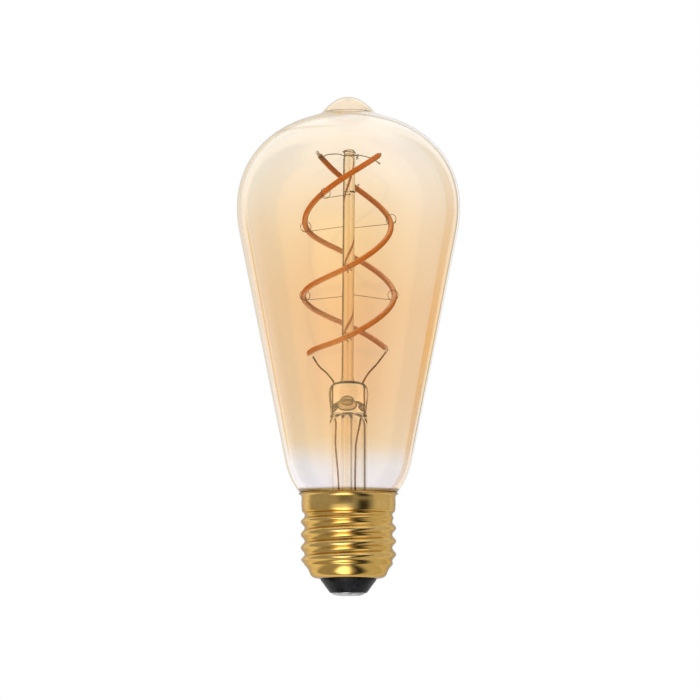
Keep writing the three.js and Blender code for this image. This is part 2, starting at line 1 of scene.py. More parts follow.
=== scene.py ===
"""Looks of the filament lamp: fine surfaces and procedural finishes over its CAD frame.

Outlines and routes are the CAD's, in millimetres, with small changes that follow the photograph, and mm()
turns them into metres.
"""

import math

import bmesh
import bpy
import numpy as np
from mathutils import Matrix, Vector


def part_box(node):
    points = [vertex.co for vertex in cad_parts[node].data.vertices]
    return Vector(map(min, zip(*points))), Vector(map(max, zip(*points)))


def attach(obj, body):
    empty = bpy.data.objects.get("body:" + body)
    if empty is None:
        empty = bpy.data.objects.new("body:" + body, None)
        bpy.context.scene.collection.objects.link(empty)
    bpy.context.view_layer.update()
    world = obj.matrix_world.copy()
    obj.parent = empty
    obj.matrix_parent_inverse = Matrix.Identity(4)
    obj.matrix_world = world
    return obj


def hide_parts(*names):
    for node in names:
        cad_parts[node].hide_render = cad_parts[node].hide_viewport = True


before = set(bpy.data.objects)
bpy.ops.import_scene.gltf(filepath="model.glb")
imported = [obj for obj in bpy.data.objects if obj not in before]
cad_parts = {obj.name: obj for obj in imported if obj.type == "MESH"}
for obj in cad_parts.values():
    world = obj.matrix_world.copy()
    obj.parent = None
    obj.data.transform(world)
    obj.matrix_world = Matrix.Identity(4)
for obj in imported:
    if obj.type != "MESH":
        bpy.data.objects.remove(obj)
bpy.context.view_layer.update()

MM = 0.001
ON_AXIS = 1e-9
TURN = 2 * math.pi
# Angles are in degrees from +X, anticlockwise from above, so the front is at -90.


# ---- Curves ----


def mm(point):
    return Vector(point) * MM


def bezier(points, steps):
    """Points along a Bezier curve of any degree, without its first point."""
    made = []
    for i in range(1, steps + 1):
        level = [np.array(p, float) for p in points]
        share = i / steps
        while len(level) > 1:
            level = [a + (b - a) * share for a, b in zip(level, level[1:])]
        made.append(tuple(level[0]))
    return made


def outline(start, *stretches):
    """An outline from start through stretches, each (control points..., steps)."""
    points = [start]
    for *controls, steps in stretches:
        points += bezier([points[-1], *controls], steps)
    return points


def inset(points, wall):
    """An outline that runs up the outside of a wall, moved inwards by the wall's thickness."""
    moved = []
    for i, (r, z) in enumerate(points):
        before = np.array(points[max(i - 1, 0)])
        after = np.array(points[min(i + 1, len(points) - 1)])
        along = (after - before) / np.linalg.norm(after - before)
        moved.append((max(r - along[1] * wall, 0.0), z + along[0] * wall))
    return moved


def spline(stops, steps, centripetal=True):
    """Points on a Catmull-Rom curve through stops, with even steps between each two of them."""
    stops = [np.array(s, float) for s in stops]
    stops = [2 * stops[0] - stops[1], *stops, 2 * stops[-1] - stops[-2]]
    per_stretch = max(2, round(steps / (len(stops) - 3)))
    points = []
    for p0, p1, p2, p3 in zip(stops, stops[1:], stops[2:], stops[3:]):
        if centripetal:
            d0, d1, d2 = (math.sqrt(np.linalg.norm(b - a)) for a, b in ((p0, p1), (p1, p2), (p2, p3)))
            leave = d1 * ((p1 - p0) / d0 - (p2 - p0) / (d0 + d1) + (p2 - p1) / d1)
            arrive = d1 * ((p2 - p1) / d1 - (p3 - p1) / (d1 + d2) + (p3 - p2) / d2)
        else:
            leave, arrive = (p2 - p0) / 2, (p3 - p1) / 2
        for i in range(per_stretch):
            t = i / per_stretch
            points.append(
                (2 * t**3 - 3 * t**2 + 1) * p1
                + (t**3 - 2 * t**2 + t) * leave
                + (3 * t**2 - 2 * t**3) * p2
                + (t**3 - t**2) * arrive
            )
    return points + [stops[-2]]


def polar(radius, degrees, z):
    angle = math.radians(degrees)
    return np.array([radius * math.cos(angle), radius * math.sin(angle), z])


def smooth_step(value, low, high):
    share = min(max((value - low) / (high - low), 0), 1)
    return share * share * (3 - 2 * share)


# ---- Meshes ----


def piece(name, vertices, faces, materials, slots=None):
    """A smooth shaded object from vertices in millimetres. slots gives each face's material number."""
    mesh = bpy.data.meshes.new(name)
    mesh.from_pydata([mm(v) for v in vertices], [], faces)
    for material in materials:
        mesh.materials.append(material)
    if slots:
        mesh.polygons.foreach_set("material_index", slots)
    build = bmesh.new()
    build.from_mesh(mesh)
    bmesh.ops.recalc_face_normals(build, faces=build.faces)
    build.to_mesh(mesh)
    build.free()
    mesh.shade_smooth()
    made = bpy.data.objects.new(name, mesh)
    bpy.context.scene.collection.objects.link(made)
    return made


def place(made, node):
    """The piece rides on the lamp and stands for its CAD node, which it hides."""
    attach(made, "root")
    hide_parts(node)
    return made


def revolve(points, segments, move=None, number=None):
    """(vertices, faces, slots) of an outline turned about Z. It runs from axis to axis or is a closed ring.

    move shifts a vertex (x, y, z), and number gives a face's material number from its outline index.
    """
    on_axis = points[0][0] < ON_AXIS and points[-1][0] < ON_AXIS
    vertices, rings = [], []
    for r, z in points:
        first = len(vertices)
        if r < ON_AXIS:
            vertices.append((0.0, 0.0, z))
            rings.append([first] * segments)
        else:
            vertices += [tuple(polar(r, 360 * k / segments, z)) for k in range(segments)]
            rings.append(list(range(first, first + segments)))
    faces, slots = [], []
    pairs = list(zip(rings, rings[1:])) if on_axis else list(zip(rings, rings[1:] + rings[:1]))
    for i, (low, high) in enumerate(pairs):
        for k in range(segments):
            after = (k + 1) % segments
            corners = [low[k], low[after], high[after], high[k]]
            face = [c for j, c in enumerate(corners) if c not in corners[:j]]
            if len(face) > 2:
                faces.append(face)
                slots.append(number(i) if number else 0)
    if move:
        vertices = [move(*v) for v in vertices]
    return vertices, faces, slots


def bar(points, radius, sides=12, flat=1.0, outward=None):
    """(vertices, faces) of a round ended bar along points.

    radius is a number or a function of the length so far. outward(i) turns the section's first axis, and
    flat is how deep the section is across it.
    """
    points = [np.array(p, float) for p in points]
    lengths = np.cumsum([0.0] + [np.linalg.norm(b - a) for a, b in zip(points, points[1:])])
    size = radius if callable(radius) else (lambda _: radius)
    tangents = []
    for i in range(len(points)):
        step = points[min(i + 1, len(points) - 1)] - points[max(i - 1, 0)]
        tangents.append(step / np.linalg.norm(step))
    side = np.cross(tangents[0], [0, 0, 1.0])
    if np.linalg.norm(side) < 0.1:
        side = np.array([1.0, 0, 0])
    rings = []
    for i, (centre, tangent) in enumerate(zip(points, tangents)):
        wanted = outward(i) if outward else side
        side = wanted - tangent * (wanted @ tangent)
        side = side / np.linalg.norm(side)
        rings.append((centre, tangent, side, np.cross(tangent, side), size(lengths[i])))
    rounding = [math.radians(a) for a in (72, 48, 24)]
    start = [(rings[0], -math.sin(a), math.cos(a)) for a in rounding]
    close = [(rings[-1], math.sin(a), math.cos(a)) for a in reversed(rounding)]
    stations = start + [(ring, 0.0, 1.0) for ring in rings] + close
    vertices = [tuple(points[0] - tangents[0] * size(0))]
    for (centre, tangent, across, up, r), shift, share in stations:
        for k in range(sides):
            angle = TURN * k / sides
            spoke = across * math.cos(angle) + up * math.sin(angle) * flat
            vertices.append(tuple(centre + tangent * shift * r + spoke * r * share))
    vertices.append(tuple(points[-1] + tangents[-1] * size(lengths[-1])))
    faces = []
    last = len(vertices) - 1
    for k in range(sides):
        after = (k + 1) % sides
        faces.append((0, 1 + after, 1 + k))
        for j in range(len(stations) - 1):
            low, high = 1 + j * sides, 1 + (j + 1) * sides
            faces.append((low + k, low + after, high + after, high + k))
        end = 1 + (len(stations) - 1) * sides
        faces.append((end + k, end + after, last))
    return vertices, faces


def together(*parts):
    """Several (vertices, faces) as one."""
    vertices, faces = [], []
    for some_vertices, some_faces in parts:
        first = len(vertices)
        vertices += some_vertices
        faces += [tuple(first + c for c in face) for face in some_faces]
    return vertices, faces


def carve(made, *cuts):
    """Cuts closed tools out of a piece. Each cut is ((vertices, faces), its walls' material number)."""
    for (vertices, faces), number in cuts:
        materials = list(made.data.materials)
        tool = piece("tool", vertices, faces, materials, [number] * len(faces))
        cutter = made.modifiers.new("cut", "BOOLEAN")
        cutter.operation, cutter.solver, cutter.object = "DIFFERENCE", "EXACT", tool
        bpy.context.view_layer.update()
        cut = bpy.data.meshes.new_from_object(made.evaluated_get(bpy.context.evaluated_depsgraph_get()))
        made.modifiers.remove(cutter)
        made.data = cut
        bpy.data.objects.remove(tool)
    return made


def ball(centre, radii, segments):
    """(vertices, faces) of an ellipsoid."""
    rows = 16
    points = [(math.sin(math.pi * i / rows), -math.cos(math.pi * i / rows)) for i in range(rows + 1)]
    points[0], points[-1] = (0.0, -1.0), (0.0, 1.0)
    vertices, faces, _ = revolve(points, segments)
    return [tuple(np.array(v) * radii + centre) for v in vertices], faces


def pillar(radius, bottom, top, x, y, segments=24):
    """(vertices, faces) of an upright round bar."""
    vertices, faces, _ = revolve([(0, bottom), (radius, bottom), (radius, top), (0, top)], segments)
    return [(vx + x, vy + y, vz) for vx, vy, vz in vertices], faces


# ---- Material nodes ----


class Nodes:
    """Short calls for the nodes of a shader tree."""

    def __init__(self, tree):
        self.tree = tree

    def node(self, kind, values=None, **settings):
        made = self.tree.nodes.new("ShaderNode" + kind)
        for key, value in settings.items():
            setattr(made, key, value)
        for key, value in (values or {}).items():
            self.feed(made.inputs[key], value)
        return made

    def feed(self, socket, value):
        if isinstance(value, bpy.types.NodeSocket):
            self.tree.links.new(value, socket)
        elif hasattr(value, "__len__") and len(value) == 3 and len(socket.default_value) == 4:
            socket.default_value = (*value, 1.0)
        else:
            socket.default_value = value

    def maths(self, operation, a, b=0.0):
        return self.node("Math", {0: a, 1: b}, operation=operation).outputs[0]

    def times(self, a, b):
        return self.maths("MULTIPLY", a, b)

    def remap(self, value, low, high, to_low=0.0, to_high=1.0, smooth=True):
        values = {"Value": value, "From Min": low, "From Max": high, "To Min": to_low, "To Max": to_high}
        kind = "SMOOTHSTEP" if smooth else "LINEAR"
        return self.node("MapRange", values, interpolation_type=kind).outputs[0]


class Finish(Nodes):
    """A material with a Principled shader. Its textures read the piece's own coordinates, in metres."""

    def __init__(self, name, **settings):
        self.material = bpy.data.materials.new(name)
        self.material.use_nodes = True
        super().__init__(self.material.node_tree)
        self.shader = self.tree.nodes["Principled BSDF"]
        self.place = self.node("TexCoord").outputs["Object"]
        for key, value in settings.items():
            self.shader.inputs[key.replace("_", " ").title().replace("Ior", "IOR")].default_value = value

    def set(self, name, value):
        self.feed(self.shader.inputs[name], value)

    def colour(self, value):
        self.set("Base Color", value)

    def rough(self, pattern, low, high, at_low, at_high):
        """Roughness at_low where the pattern is low, and at_high where it is high."""
        self.set("Roughness", self.remap(pattern, low, high, at_low, at_high))

    def axis(self, index):
        return self.node("SeparateXYZ", {0: self.place}).outputs[index]

    def stretched(self, x, y, z):
        """The piece's coordinates with each axis scaled."""
        return self.node("Mapping", {"Vector": self.place, "Scale": (x, y, z)}).outputs[0]

    def noise(self, scale, detail=3.0, rough=0.55, at=None):
        values = {"Vector": at or self.place, "Scale": scale, "Detail": detail, "Roughness": rough}
        return self.node("TexNoise", values).outputs["Fac"]

    def cells(self, scale, feature="F1"):
        values = {"Vector": self.place, "Scale": scale}
        return self.node("TexVoronoi", values, feature=feature).outputs["Distance"]

    def from_axis(self, operation, output):
        """The LENGTH or the direction (NORMALIZE) of the coordinates without their height."""
        values = {0: self.stretched(1, 1, 0)}
        return self.node("VectorMath", values, operation=operation).outputs[output]

    def mix(self, share, a, b, blend="MIX"):
        made = self.node("Mix", data_type="RGBA", blend_type=blend)
        for index, value in ((0, share), (6, a), (7, b)):
            self.feed(made.inputs[index], value)
        return made.outputs[2]

    def tint(self, colour, tint, *shares):
        """colour, multiplied by tint where every share is 1."""
        share = shares[0]
        for other in shares[1:]:
            share = self.times(share, other)
        return self.mix(share, colour, self.mix(1.0, colour, tint, "MULTIPLY"))

    def ramp(self, share, *stops):
        """Stops are (place, colour)."""
        made = self.node("ValToRGB", {"Fac": share})
        elements = made.color_ramp.elements
        while len(elements) < len(stops):
            elements.new(0.5)
        for element, (at, colour) in zip(elements, stops):
            element.position = at
            element.color = (*colour, 1.0)
        return made.outputs["Color"]

    def grazing(self, low, high):
        """From 0 where the surface faces the ray to 1 where it passes edge on."""
        facing = self.node("LayerWeight", {"Blend": 0.5}).outputs["Facing"]
        return self.remap(facing, low, high)

    def bump(self, height, distance, strength=1.0):
        values = {"Height": height, "Distance": distance, "Strength": strength}
        self.set("Normal", self.node("Bump", values).outputs[0])


# ---- Glass ----


LUSTRE = {"specular_tint": (1.0, 0.72, 0.30, 1.0), "specular_ior_level": 0.09}
# The coating fades in between these heights.
COAT_EDGE = (36 * MM, 43 * MM)


def outer_glass():
    """The envelope's outside: clear with faint handling marks, and deeper in colour where seen edge on.

    Its bands and lines follow the outline, so they are set by how far the surface turns from the eye. The
    lines down the left and right edges, the darker rims and the tip's darker edges are painted shade,
    standing in for dark surroundings refracted and reflected edge on.
    """
    finish = Finish("glass_outside", ior=1.5, transmission_weight=1.0, **LUSTRE)
    marks = finish.noise(130, 4, 0.6)
    clear = finish.mix(finish.remap(marks, 0.35, 0.8), (0.998, 0.996, 0.998), (0.985, 0.98, 0.985))
    left = finish.remap(finish.axis(0), 2 * MM, -2 * MM)
    right = finish.maths("SUBTRACT", 1.0, left)
    coated = finish.remap(finish.axis(2), *COAT_EDGE)
    # A band up the right edge: the coating's deeper colour edge on, painted on that side only, where the
    # light brings it out.
    clear = painted_deep_bands(finish, clear, right)
    below_shoulder = finish.remap(finish.axis(2), 108 * MM, 98 * MM)
    # Painted shade: a dark line down the left edge, below the shoulder.
    painted_left_shade_line = (finish.grazing(0.585, 0.60), finish.grazing(0.635, 0.62), left, below_shoulder, coated)
    clear = finish.tint(clear, (0.62, 0.52, 0.20), *painted_left_shade_line)
    # Painted shade: a dark line down the right edge.
    painted_right_shade_line = (finish.grazing(0.735, 0.775), finish.grazing(0.835, 0.81), right, coated)
    clear = finish.tint(clear, (0.42, 0.31, 0.16), *painted_right_shade_line)
    # Painted shade: darker rims all round, deepest at the left.
    painted_left_rim_shade, painted_rim_shade = finish.grazing(0.67, 0.79), finish.grazing(0.80, 0.89)
    clear = finish.tint(clear, (0.52, 0.33, 0.12), painted_left_rim_shade, left)
    clear = finish.tint(clear, (0.70, 0.55, 0.48), painted_rim_shade)
    # Painted reflection: a dark brown band on the glass just above the cap, standing for the brass rim
    # mirrored in shade.
    painted_cap_rim_reflection = finish.remap(finish.axis(2), 29.7 * MM, 29.0 * MM)
    clear = finish.tint(clear, (0.22, 0.12, 0.02), painted_cap_rim_reflection)
    tip = finish.remap(finish.axis(2), 132.8 * MM, 134.2 * MM)
    clear = finish.tint(clear, (0.97, 0.92, 0.83), tip)
    # Painted shade at the tip's edges.
    clear = finish.tint(clear, (0.84, 0.72, 0.56), tip, finish.grazing(0.4, 0.62))
    finish.colour(finish.tint(clear, (0.74, 0.66, 0.56), *shoulder_line_shares(finish)))
    finish.rough(marks, 0.55, 0.9, 0.0, 0.035)
    finish.bump(finish.noise(45, 2), 0.00006, 0.4)
    return finish.material


def painted_deep_bands(finish, colour, right):
    """colour with a deep band up the right side, whose outer part is deeper still. The band is the coating's
    deeper colour where seen edge on, painted on the right side only, where the light brings it out.
    """
    height = finish.remap(finish.axis(2), COAT_EDGE[0], 132 * MM, smooth=False)
    deep = finish.ramp(
        height,
        (0.0, (0.86, 0.64, 0.42)), (0.14, (0.78, 0.58, 0.34)), (0.25, (0.82, 0.59, 0.22)),
        (0.365, (0.92, 0.55, 0.14)), (0.48, (0.90, 0.66, 0.29)), (0.70, (0.90, 0.74, 0.52)), (1.0, (1, 1, 1)),
    )
    for starts in ((0.50, 0.53), (0.735, 0.76)):
        colour = finish.tint(colour, deep, finish.grazing(*starts), finish.grazing(0.85, 0.80), right)
    return colour


def shoulder_line_shares(finish):
    """Shares of a darker brownish line across the front of the shoulder, deepest at the left."""
    leftwards = finish.remap(finish.axis(0), 1 * MM, -12 * MM)
    front = finish.remap(finish.axis(1), -1 * MM, -3 * MM)
    over = finish.remap(finish.axis(2), 127.4 * MM, 128.0 * MM)
    under = finish.remap(finish.axis(2), 128.7 * MM, 128.2 * MM)
    return leftwards, front, over, under


# The coating's colour at heights of the lamp in millimetres.
COAT = [
    (32.0, (0.88, 0.83, 0.84)),
    (36.5, (0.88, 0.83, 0.79)),
    (42.0, (0.90, 0.67, 0.41)),
    (55.0, (0.90, 0.60, 0.33)),
    (82.0, (0.92, 0.60, 0.315)),
    (101.0, (0.96, 0.70, 0.42)),
    (118.0, (1.0, 0.84, 0.63)),
    (132.0, (1.0, 0.88, 0.73)),
]


def amber_coat():
    """The envelope's inside: a vapour coating, thickest at the middle and faded out above the neck.

    Its colour is painted a little deeper where it faces the ray, as painted shade, and paler where it turns
    away, as painted haze of reflected light.
    """
    finish = Finish("glass_amber_coat", ior=1.5, transmission_weight=1.0, roughness=0.0, **LUSTRE)
    low, high = COAT[0][0], COAT[-1][0]
    wander = finish.remap(finish.noise(28, 3), 0.3, 0.7, -1.6 * MM, 1.6 * MM, smooth=False)
    wandering = finish.maths("ADD", finish.axis(2), wander)
    height = finish.remap(wandering, low * MM, high * MM, smooth=False)
    even = finish.ramp(height, *[((z - low) / (high - low), colour) for z, colour in COAT])
    patches = finish.remap(finish.noise(22, 2), 0.35, 0.7)
    coat = finish.tint(even, (0.985, 0.955, 0.915), patches)
    painted_centre_shade = finish.ramp(
        height, (0.0, (1, 1, 1)), (0.1, (0.95, 0.86, 0.76)), (0.4, (0.92, 0.78, 0.70)),
        (0.65, (0.97, 0.90, 0.76)), (1.0, (1, 0.99, 0.97)),
    )
    # Painted shade where the coat faces the ray, and painted haze of reflected light where it turns away.
    facing, painted_edge_haze = finish.grazing(0.16, 0.0), finish.grazing(0.36, 0.56)
    coat = finish.tint(coat, painted_centre_shade, facing)
    coat = finish.tint(coat, (1.08, 1.07, 1.09), painted_edge_haze)
    # A little paler and cooler over the right half.
    right = finish.remap(finish.axis(0), 0.0, 18 * MM)
    coated = finish.remap(finish.axis(2), *COAT_EDGE)
    finish.colour(finish.tint(coat, (1.0, 1.03, 1.10), right, coated))
    return finish.material


def clear_glass(name, body, painted_dark_edge, start, end=0.95):
    """Drawn glass of a faint body colour with streaks, turning to a dark edge colour where seen edge on:
    partly the glass's own deeper tint over a longer path, and partly painted shade standing in for dark
    surroundings refracted at the edges.
    """
    finish = Finish(name, ior=1.5, transmission_weight=1.0)
    streaks = finish.noise(900, 3, 0.5, finish.stretched(1, 1, 0.04))
    worn = finish.tint(body, (0.965, 0.96, 0.94), finish.remap(streaks, 0.4, 0.75))
    # The edge colour is partly the glass's own deeper tint and partly painted shade.
    finish.colour(finish.mix(finish.grazing(start, end), worn, painted_dark_edge))
    finish.rough(streaks, 0.5, 0.9, 0.0, 0.03)
    return finish.material


def stained_and_shaded_glass():
    """The walls of the press's bubbles and hollows, dulled by oxide from the wires.

    Its rings and dark edges, and how clear it is, follow how far the wall turns from the ray. The near-black
    rims and rings are painted shade, standing in for light totally reflected from dark surroundings; the
    brownish tint is the oxide.
    """
    finish = Finish("glass_seal_stain_and_shade", ior=1.5, transmission_weight=1.0)
    smears = finish.noise(700, 4, 0.6)
    # Painted shade: dark rings and near-black rims that follow how far the wall turns from the ray, where it
    # also turns opaque.
    rings = finish.maths("SINE", finish.times(finish.grazing(0.0, 1.0), 19.0))
    dark = finish.times(finish.remap(rings, -0.2, 0.7), finish.remap(smears, 0.35, 0.6, 0.5, 1.0))
    painted_dark_edge = finish.maths("MAXIMUM", finish.times(dark, 0.85), finish.grazing(0.18, 0.38))
    finish.colour(finish.mix(painted_dark_edge, (0.74, 0.66, 0.54), (0.002, 0.002, 0.002)))
    finish.set("Transmission Weight", finish.grazing(0.34, 0.22))
    finish.rough(smears, 0.4, 0.8, 0.02, 0.12)
    return finish.material


def envelope_outline():
    return outline(
        (11.4, 21.8),
        ((11.4, 26), 4),
        ((11.4, 27.4), (15.79, 28.6), (17.6, 37.6), 18),
        ((29.9, 98.7), 26),
        ((30.5, 101.7), (31, 104.5), (31, 107.5), 8),
        ((31, 120), (23.5, 128.7), (12, 132.5), 26),
        ((10, 133.15), (7.9, 133.7), (7.2, 134.4), 9),
        ((5.6, 136.2), (3.2, 138.55), (0, 138.55), 14),
    )


def glass_envelope(outside_glass, coat):
    """The wall thins into the tip, where the glass was drawn out."""
    wall, tip_wall, tip_from, tip_to = 0.9, 0.75, 132, 136
    outside = envelope_outline()
    inside = []
    for (_, z), thick, thin in zip(outside, inset(outside, wall), inset(outside, tip_wall)):
        share = smooth_step(z, tip_from, tip_to)
        inside.append(tuple(np.array(thick) + (np.array(thin) - thick) * share))
    points = inside[::-1] + outside
    turn_round = len(inside) - 1
    vertices, faces, slots = revolve(points, 160, number=lambda i: 1 if i < turn_round else 0)
    made = piece("bulb_glass", vertices, faces, [outside_glass, coat], slots)
    return place(made, "glass_envelope")


# The tube flattens between the first two heights, and the press rounds off between the next two.
PRESS_BLEND = (46.5, 51.5)
PRESS_ROUND = (56.8, 59.5)
STEM_RADIUS = 5.25
PRESS_HALF = (5.5, 2.5)
PRESS_SQUARENESS = 0.7
EXHAUST_X = -0.45
SEAL_X = (-4.1, 4.05)
BUBBLE_Z = 53.2


def flatten_to_press(x, y, z):
    """The tube is round below and flattens towards the press, whose section is a rounded oblong."""
    press = smooth_step(z, *PRESS_BLEND)
    across = math.hypot(x, y)
    if across < ON_AXIS or press == 0:
        return x, y, z
    corner = 2 + PRESS_SQUARENESS * press
    squareness = ((abs(x) / across) ** corner + (abs(y) / across) ** corner) ** (-1 / corner)
    wide, deep = (squareness * (1 + (half / STEM_RADIUS - 1) * press) for half in PRESS_HALF)
    over = min(max((z - PRESS_ROUND[0]) / (PRESS_ROUND[1] - PRESS_ROUND[0]), 0), 1)
    return x * wide, y * deep * math.sqrt(1 - over * over), z


def stem_flare_tube(glass, pressed, stained_and_shaded):
    """One glass piece with three finishes: the tube, the press over it, and the hollows' walls."""
    outside = outline(
        (10.2, 22.4),
        ((5.5, 24), (5.25, 28.5), 12),
        ((5.25, 47.4), 22),
        ((5.25, 49.6), (4.7, 50.4), 10),
        ((4.8, 52.5), (5.25, 55.2), 10),
        ((5.3, 57.5), (4.7, 58.7), (3.1, 59.15), 16),
        ((2.2, 59.4), (1.4, 59.49), (0, 59.49), 10),
    )
    bore = outline(
        (0, 50.6),
        ((2.4, 50.5), (4.3, 49.9), (4.4, 47.0), 12),
        ((4.4, 28.6), 18),
        ((4.6, 23.4), (9.6, 21.9), 12),
    )
    points, pressed_from = bore + outside, 50.3
    tube_wall, hollow_wall = 0, 2
    way_radius, way_from, way_to = 0.2, 48, 60.5
    vertices, faces, slots = revolve(points, 96, flatten_to_press, lambda i: int(points[i][1] > pressed_from))
    made = piece("stem_glass", vertices, faces, [glass, pressed, stained_and_shaded], slots)
    wire_ways = [pillar(way_radius, way_from, way_to, x, 0) for x in SEAL_X]
    carve(made, *[(way, tube_wall) for way in wire_ways], *[(hollow, hollow_wall) for hollow in hollows()])
    made.data.shade_smooth()
    return place(made, "stem_flare_tube")


def hollows():
    """Two bubbles where the exhaust tube met the press, and a hollow at each side of each seal wire."""
    return [
        ball((EXHAUST_X, -0.85, BUBBLE_Z - 0.45), (2.75, 0.6, 1.75), 48),
        ball((EXHAUST_X + 0.1, 0.65, BUBBLE_Z + 0.85), (1.9, 0.6, 1.4), 40),
        leaning((-3.45, -0.7, 52.9), (0.42, 0.55, 1.5), 52),
        leaning((-3.55, 0.75, 51.5), (0.5, 0.6, 1.35), 34),
        leaning((3.15, -0.7, 53.1), (0.42, 0.55, 1.35), -58),
        leaning((3.45, 0.75, 51.6), (0.5, 0.6, 1.45), -38),
    ]


def leaning(centre, radii, degrees):
    """An ellipsoid that leans towards the right."""
    vertices, faces = ball((0, 0, 0), radii, 24)
    lean = Matrix.Rotation(math.radians(degrees), 3, "Y")
    return [tuple(lean @ Vector(v) + Vector(centre)) for v in vertices], faces


def exhaust_tube(glass):
    points = outline(
        (0, 21.1),
        ((0.8, 21.1), (1.5, 22.3), (1.65, 23.7), 8),
        ((1.65, 49.9), 14),
        ((1.65, 50.05), (1.1, 50.05), 3),
        ((1.1, 24.4), 14),
        ((1.1, 23.3), (0.5, 22.9), (0, 22.9), 6),
    )
    vertices, faces, _ = revolve(points, 48, lambda x, y, z: (x + EXHAUST_X, y, z))
    return place(piece("exhaust_glass", vertices, faces, [glass]), "exhaust_tube")


ROD_FOOT = np.array([-0.3, 0.0, 59.6])
ROD_LENGTH = 64.4
ROD_RADIUS = 1.68
ROD_LEAN = 0.5 / 62
LINK_RING_Z = 122.3


def rod_centre(z):
    return np.array([ROD_FOOT[0] + (z - ROD_FOOT[2]) * math.tan(ROD_LEAN), 0.0, z])


def support_rod(glass):
    neck = LINK_RING_Z - ROD_FOOT[2]
    points = outline(
        (0, 0),
        ((2.0, -0.02), 3),
        ((2.05, 0.1), (1.7, 0.35), (1.66, 1.2), 10),
        ((ROD_RADIUS, neck - 1.2), 30),
        ((ROD_RADIUS, neck - 0.5), (1.42, neck - 0.5), (1.42, neck), 5),
        ((1.42, neck + 0.4), (1.66, neck + 0.5), (1.64, neck + 0.9), 5),
        ((1.55, ROD_LENGTH), (1.0, ROD_LENGTH), (0, ROD_LENGTH), 10),
    )
    lean = Matrix.Rotation(ROD_LEAN, 3, "Y")
    vertices, faces, _ = revolve(points, 48, lambda *v: tuple(lean @ Vector(v) + Vector(ROD_FOOT)))
    return place(piece("rod_glass", vertices, faces, [glass]), "support_rod")


# ---- Filaments and wires ----

FILAMENT_RADIUS = 0.78
# A stop on a route is its angle in degrees, its distance from the lamp's axis and its height.
ROUTES = {
    "filament_a": [
        (313, 12.2, 121.2), (270, 11.8, 115.5), (180, 12.1, 103.9), (90, 12.6, 95.8), (0, 12.7, 83.2),
        (-90, 12.5, 70.9), (-156, 11.9, 66.8),
    ],
    "filament_b": [
        (131, 12.3, 123.4), (90, 12.1, 116), (0, 11.8, 102.4), (-90, 11.5, 90.1), (-180, 12.5, 83),
        (-270, 11.8, 75.8), (-328, 12.2, 69.1),
    ],
}


def silicone():
    """Phosphor silicone: clear orange where it faces outwards over the chips, dustier elsewhere, and darker
    on the side facing the lamp's axis, which is painted shade.
    """
    finish = Finish("phosphor_silicone", ior=1.41, specular_ior_level=0.05)
    height = finish.remap(finish.axis(2), 66 * MM, 124 * MM, smooth=False)
    front = finish.ramp(
        height, (0.0, (0.74, 0.30, 0.08)), (0.35, (0.68, 0.24, 0.014)), (1.0, (0.58, 0.11, 0.0))
    )
    side = finish.ramp(
        height, (0.0, (0.97, 0.68, 0.55)), (0.3, (0.98, 0.70, 0.58)), (0.65, (0.86, 0.42, 0.20)),
        (1.0, (0.58, 0.14, 0.002)),
    )
    sides = {0: finish.from_axis("NORMALIZE", 0), 1: finish.node("TexCoord").outputs["Normal"]}
    outward = finish.node("VectorMath", sides, operation="DOT_PRODUCT").outputs["Value"]
    body = finish.mix(finish.remap(outward, 0.15, 0.9), side, front)
    # Painted shade on the side that faces the lamp's axis.
    painted_inner_shade = finish.remap(outward, -0.3, -0.9)
    body = finish.tint(body, (0.60, 0.46, 0.42), painted_inner_shade)
    grain = finish.noise(2600, 4, 0.6)
    chips = finish.cells(900)
    body = finish.mix(finish.remap(chips, 0.15, 0.75, 0.0, 0.22), body, (0.42, 0.12, 0.012))
    body = finish.tint(body, (1.0, 0.86, 0.72), finish.remap(grain, 0.35, 0.75))
    finish.colour(body)
    finish.rough(grain, 0.3, 0.8, 0.5, 0.68)
    finish.bump(finish.maths("ADD", grain, finish.times(chips, 0.6)), 0.00006, 0.5)
    return finish.material


def on_coil(stop):
    degrees, radius, z = stop
    return polar(radius, degrees, z)


def filament(name, material):
    route = spline(ROUTES[name], 240, centripetal=False)
    points = [on_coil(stop) for stop in route]
    outward = [polar(1, degrees, 0) for degrees, _, _ in route]
    chip_pitch, swell, thin = 1.9, 0.02, 0.77

    def over_chips(length):
        return thin - swell * (1 - math.cos(TURN * length / chip_pitch)) / 2

    vertices, faces = bar(points[1:-1], over_chips, 20, FILAMENT_RADIUS / thin, lambda i: outward[i + 1])
    made = piece(name.replace("filament", "filament_coil"), vertices, faces, [material])
    return place(made, name)


def coil_point(name, degrees):
    """(point, tangent) where a filament passes an angle."""
    route = spline(ROUTES[name], 600, centripetal=False)
    i = min(range(1, len(route) - 1), key=lambda k: abs(route[k][0] - degrees))
    before, at, after = (on_coil(route[k]) for k in (i - 1, i, i + 1))
    return at, (after - before) / np.linalg.norm(after - before)


